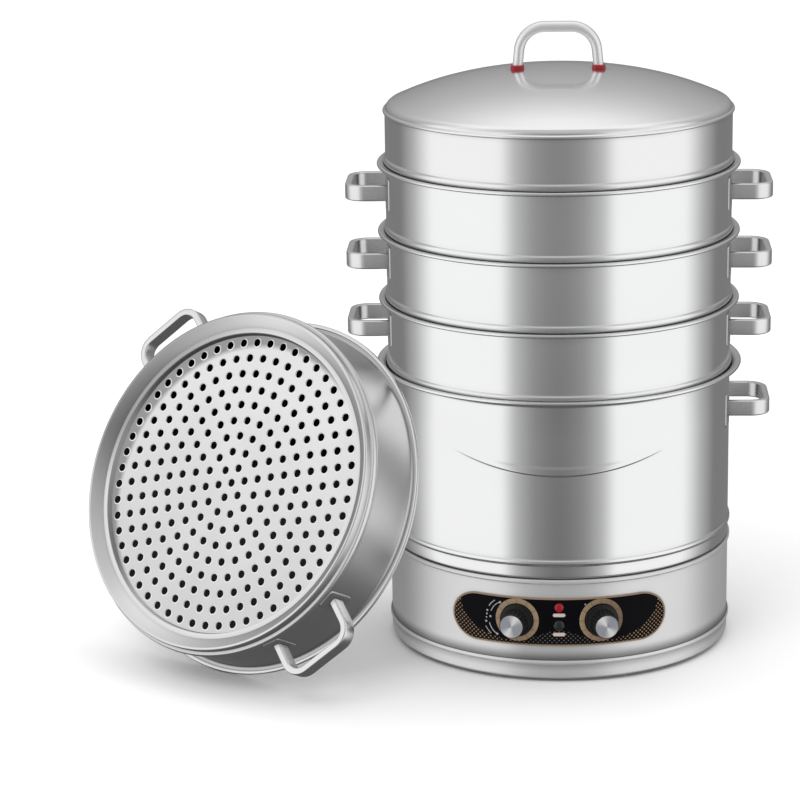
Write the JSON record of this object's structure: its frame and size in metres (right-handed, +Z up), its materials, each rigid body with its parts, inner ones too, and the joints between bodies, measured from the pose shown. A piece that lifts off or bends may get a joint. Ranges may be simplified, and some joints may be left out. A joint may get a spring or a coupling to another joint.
{
  "type": "electric bun steamer",
  "caption": "Electric bun steamer: a round heater base with dial controls and a fixed water pot, perforated stacking tiers with side handles, and a deep domed lid with a bar handle",
  "frame": {"origin": "the middle of the stack, on the counter in the plane of the feet", "axes": "+Z up along the axis of the stack, -Y forwards through the middle of the control panel, +X to the right of someone facing the controls"},
  "size_m": [0.8979, 0.5752, 0.8265],
  "materials": {
    "housing_steel": "stainless sheet, satin",
    "tier_steel": "stainless sheet, satin",
    "plate_steel": "stainless sheet, pressed and punched",
    "handle_steel": "stainless strap, satin",
    "polished_steel": "stainless, polished",
    "inner_steel": "galvanised sheet",
    "fastener_steel": "zinc-plated steel",
    "foot_rubber": "matt",
    "grommet_rubber": "red silicone, slightly glossy",
    "heater_cast": "cast",
    "heater_tube": "oxidised alloy sheath",
    "insulation_fibre": "pressed fibre board",
    "black_plastic": "moulded, heat-resistant",
    "fascia_black": "gloss black with a printed dot mesh",
    "trim_gold": "pale gold edge",
    "light_plastic": "moulded, ivory",
    "timer_steel": "plated case",
    "red_lens": "clear red, domed",
    "dark_lens": "smoked, domed",
    "brass_pins": "bare",
    "red_sleeve": "silicone sleeve",
    "spun_aluminium": "spun, with fine rings"
  },
  "bodies": {
    "boiler_base": {"base_housing": "housing_steel", "base_floor": "inner_steel", "floor_screws": "fastener_steel", "rubber_feet": "foot_rubber", "pot_shell": "housing_steel", "pot_clamp_ring": "inner_steel", "clamp_screws": "fastener_steel", "pot_handle_pads": "handle_steel", "pot_handles": "handle_steel", "heater_plate": "heater_cast", "heating_tube": "heater_tube", "insulation_disc": "insulation_fibre", "centre_stud": "fastener_steel", "thermal_cutout": "black_plastic", "control_fascia": "fascia_black", "fascia_trim": "trim_gold", "control_bracket": "inner_steel", "thermostat_body": "light_plastic", "timer_body": "timer_steel", "power_lamp_lens": "red_lens", "heat_lamp_lens": "dark_lens", "lamp_holders": "black_plastic", "power_inlet": "black_plastic", "inlet_pins": "brass_pins", "inlet_screws": "fastener_steel", "terminal_block": "light_plastic", "wiring_loom": "red_sleeve"},
    "thermostat_knob": {"thermostat_knob": "black_plastic", "thermostat_knob_cap": "spun_aluminium", "thermostat_shaft": "fastener_steel"},
    "timer_knob": {"timer_knob": "black_plastic", "timer_knob_cap": "spun_aluminium", "timer_shaft": "fastener_steel"},
    "lower_tier": {"lower_tier_wall": "tier_steel", "lower_tier_plate": "plate_steel", "lower_tier_pads": "handle_steel", "lower_tier_handles": "handle_steel"},
    "middle_tier": {"middle_tier_wall": "tier_steel", "middle_tier_plate": "plate_steel", "middle_tier_pads": "handle_steel", "middle_tier_handles": "handle_steel"},
    "upper_tier": {"upper_tier_wall": "tier_steel", "upper_tier_plate": "plate_steel", "upper_tier_pads": "handle_steel", "upper_tier_handles": "handle_steel"},
    "leaning_tier": {"leaning_tier_wall": "tier_steel", "leaning_tier_plate": "plate_steel", "leaning_tier_pads": "handle_steel", "leaning_tier_handles": "handle_steel"},
    "lid": {"lid_band": "tier_steel", "lid_crown": "polished_steel", "lid_handle": "polished_steel", "lid_grommets": "grommet_rubber", "lid_studs": "fastener_steel", "lid_nuts": "fastener_steel"}
  },
  "joints": [
    {"name": "thermostat_turn", "type": "hinge", "parent": "boiler_base", "child": "thermostat_knob", "pos_m": [-0.05427, -0.22093, 0.083], "axis": [0.2385, 0.9711, 0], "range_deg": [0, 300]},
    {"name": "timer_turn", "type": "hinge", "parent": "boiler_base", "child": "timer_knob", "pos_m": [0.05427, -0.22093, 0.083], "axis": [-0.2385, 0.9711, 0], "range_deg": [0, 300]},
    {"name": "lower_tier_lift", "type": "slide", "parent": "boiler_base", "child": "lower_tier", "axis": [0, 0, 1], "range_m": [0, 0.12]},
    {"name": "middle_tier_lift", "type": "slide", "parent": "lower_tier", "child": "middle_tier", "axis": [0, 0, 1], "range_m": [0, 0.12]},
    {"name": "upper_tier_lift", "type": "slide", "parent": "middle_tier", "child": "upper_tier", "axis": [0, 0, 1], "range_m": [0, 0.12]},
    {"name": "lid_lift", "type": "slide", "parent": "upper_tier", "child": "lid", "axis": [0, 0, 1], "range_m": [0, 0.15]},
    {"name": "leaning_tier_lift", "type": "slide", "parent": "boiler_base", "child": "leaning_tier", "axis": [-0.5068, -0.7347, 0.4509], "range_m": [0, 0.15]}
  ]
}
